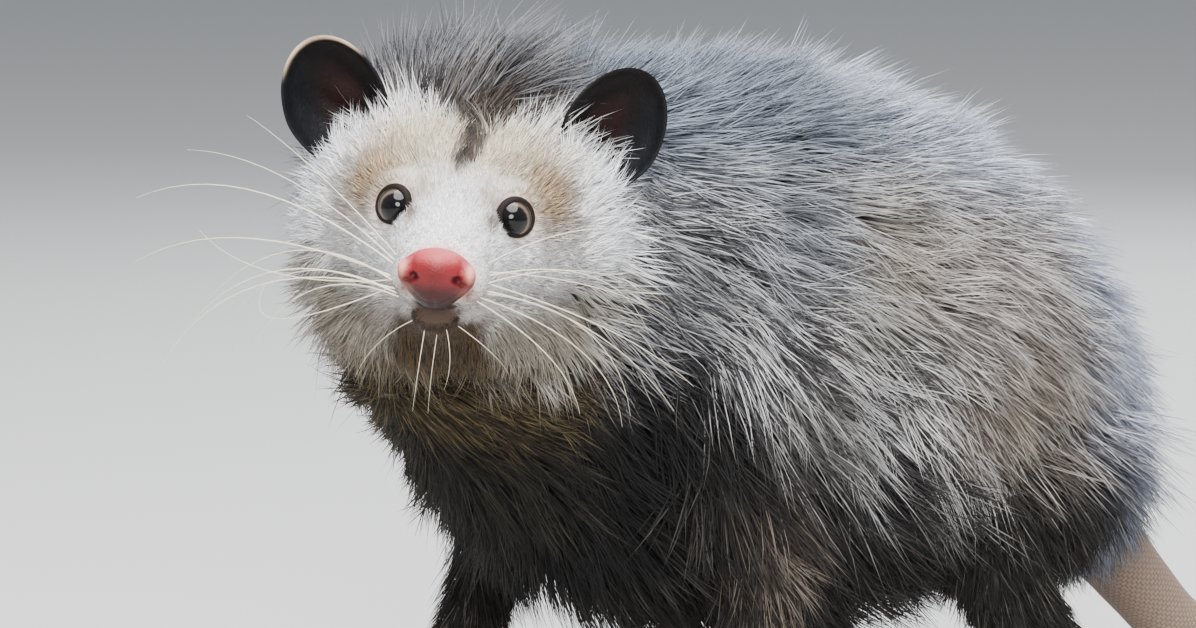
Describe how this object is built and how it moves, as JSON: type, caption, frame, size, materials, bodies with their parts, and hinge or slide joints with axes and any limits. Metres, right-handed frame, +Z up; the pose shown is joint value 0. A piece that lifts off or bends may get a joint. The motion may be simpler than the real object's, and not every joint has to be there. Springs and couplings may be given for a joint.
{
  "type": "virginia opossum",
  "caption": "Life-size Virginia opossum in winter coat, standing with an arched back, its head turned to its left and its bare tail lying on the floor.",
  "frame": {"origin": "centre of the bounding box's base, on the floor", "axes": "+Z up, -Y the way the trunk faces, +X to the animal's left"},
  "size_m": [0.2156, 0.5816, 0.2491],
  "materials": {
    "face_fur": "short white fur, grey-brown on the crown",
    "body_fur": "long grizzled fur, black at the roots and white at the tips",
    "leg_fur": "short black-brown fur",
    "ear_leather": "bare, thin and slightly glossy",
    "nose_skin": "bare, moist and pink",
    "eye": "wet, nearly black",
    "foot_skin": "bare pink-brown skin with pale claws",
    "tail_skin": "bare, finely scaled, dark at the root and pale towards the tip"
  },
  "bodies": {
    "root": {"head": "face_fur", "lower_jaw": "face_fur", "nose": "nose_skin", "eye_left": "eye", "ear_left": "ear_leather", "upper_arm_left": "body_fur", "thigh_left": "body_fur", "forearm_left": "leg_fur", "shank_left": "leg_fur", "forefoot_left": "foot_skin", "hindfoot_left": "foot_skin", "eye_right": "eye", "ear_right": "ear_leather", "upper_arm_right": "body_fur", "thigh_right": "body_fur", "forearm_right": "leg_fur", "shank_right": "leg_fur", "forefoot_right": "foot_skin", "hindfoot_right": "foot_skin", "rump": "body_fur", "belly": "body_fur", "chest": "body_fur", "neck": "body_fur", "tail_root": "tail_skin", "tail_upper": "tail_skin", "tail_middle": "tail_skin", "tail_lower": "tail_skin", "tail_tip": "tail_skin"}
  },
  "joints": []
}
